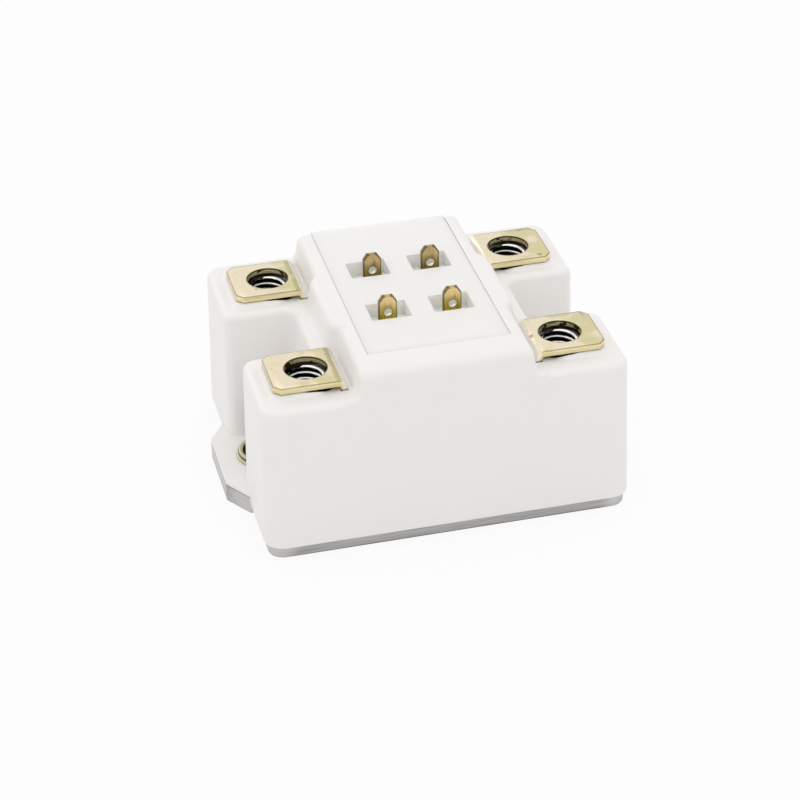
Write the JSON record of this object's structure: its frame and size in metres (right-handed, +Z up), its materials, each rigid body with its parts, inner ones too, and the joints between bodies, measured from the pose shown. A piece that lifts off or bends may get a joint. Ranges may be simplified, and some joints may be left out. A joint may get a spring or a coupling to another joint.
{
  "type": "igbt module",
  "caption": "Power semiconductor module in a white moulded housing with screw terminals on four towers, tab contacts in a lid and riveted mounting lugs.",
  "frame": {"origin": "centre of the mounting face, midway between the two mounting holes and on the underside of the base plate", "axes": "+X from the left lug to the right lug, +Y from the front to the back where the lid is open, +Z up out of the mounting face"},
  "size_m": [0.0624, 0.0482, 0.032],
  "materials": {
    "white_plastic": "fine satin grain from the mould",
    "nickel_base": "nickel-plated copper, edges sheared",
    "brass_rivet": "pale, rolled and slightly tarnished",
    "terminal_plating": "pale gold plating, satin",
    "zinc_steel": "zinc-plated",
    "tab_brass": "stamped, slightly dark",
    "ceramic": "white alumina",
    "copper": "etched copper",
    "silicon": "polished silicon",
    "bond_wire": "drawn aluminium",
    "gel": "clear soft silicone"
  },
  "bodies": {
    "root": {"base_plate": "nickel_base", "housing": "white_plastic", "lid": "white_plastic", "rivet_left": "brass_rivet", "rivet_right": "brass_rivet", "terminal_front_left": "terminal_plating", "terminal_front_right": "terminal_plating", "terminal_back_left": "terminal_plating", "terminal_back_right": "terminal_plating", "nut_front_left": "zinc_steel", "nut_front_right": "zinc_steel", "nut_back_left": "zinc_steel", "nut_back_right": "zinc_steel", "tab_front_left": "tab_brass", "tab_front_right": "tab_brass", "tab_back_left": "tab_brass", "tab_back_right": "tab_brass", "substrate_copper": "copper", "substrate_ceramic": "ceramic", "collector_track_left": "copper", "collector_track_right": "copper", "emitter_track_left": "copper", "emitter_track_right": "copper", "gate_track_left": "copper", "gate_track_right": "copper", "sense_track_left": "copper", "sense_track_right": "copper", "igbt_chip_left": "silicon", "igbt_chip_right": "silicon", "diode_chip_left": "silicon", "diode_chip_right": "silicon", "emitter_wires_left": "bond_wire", "emitter_wires_right": "bond_wire", "control_wires_left": "bond_wire", "control_wires_right": "bond_wire", "silicone_gel": "gel"}
  },
  "joints": []
}
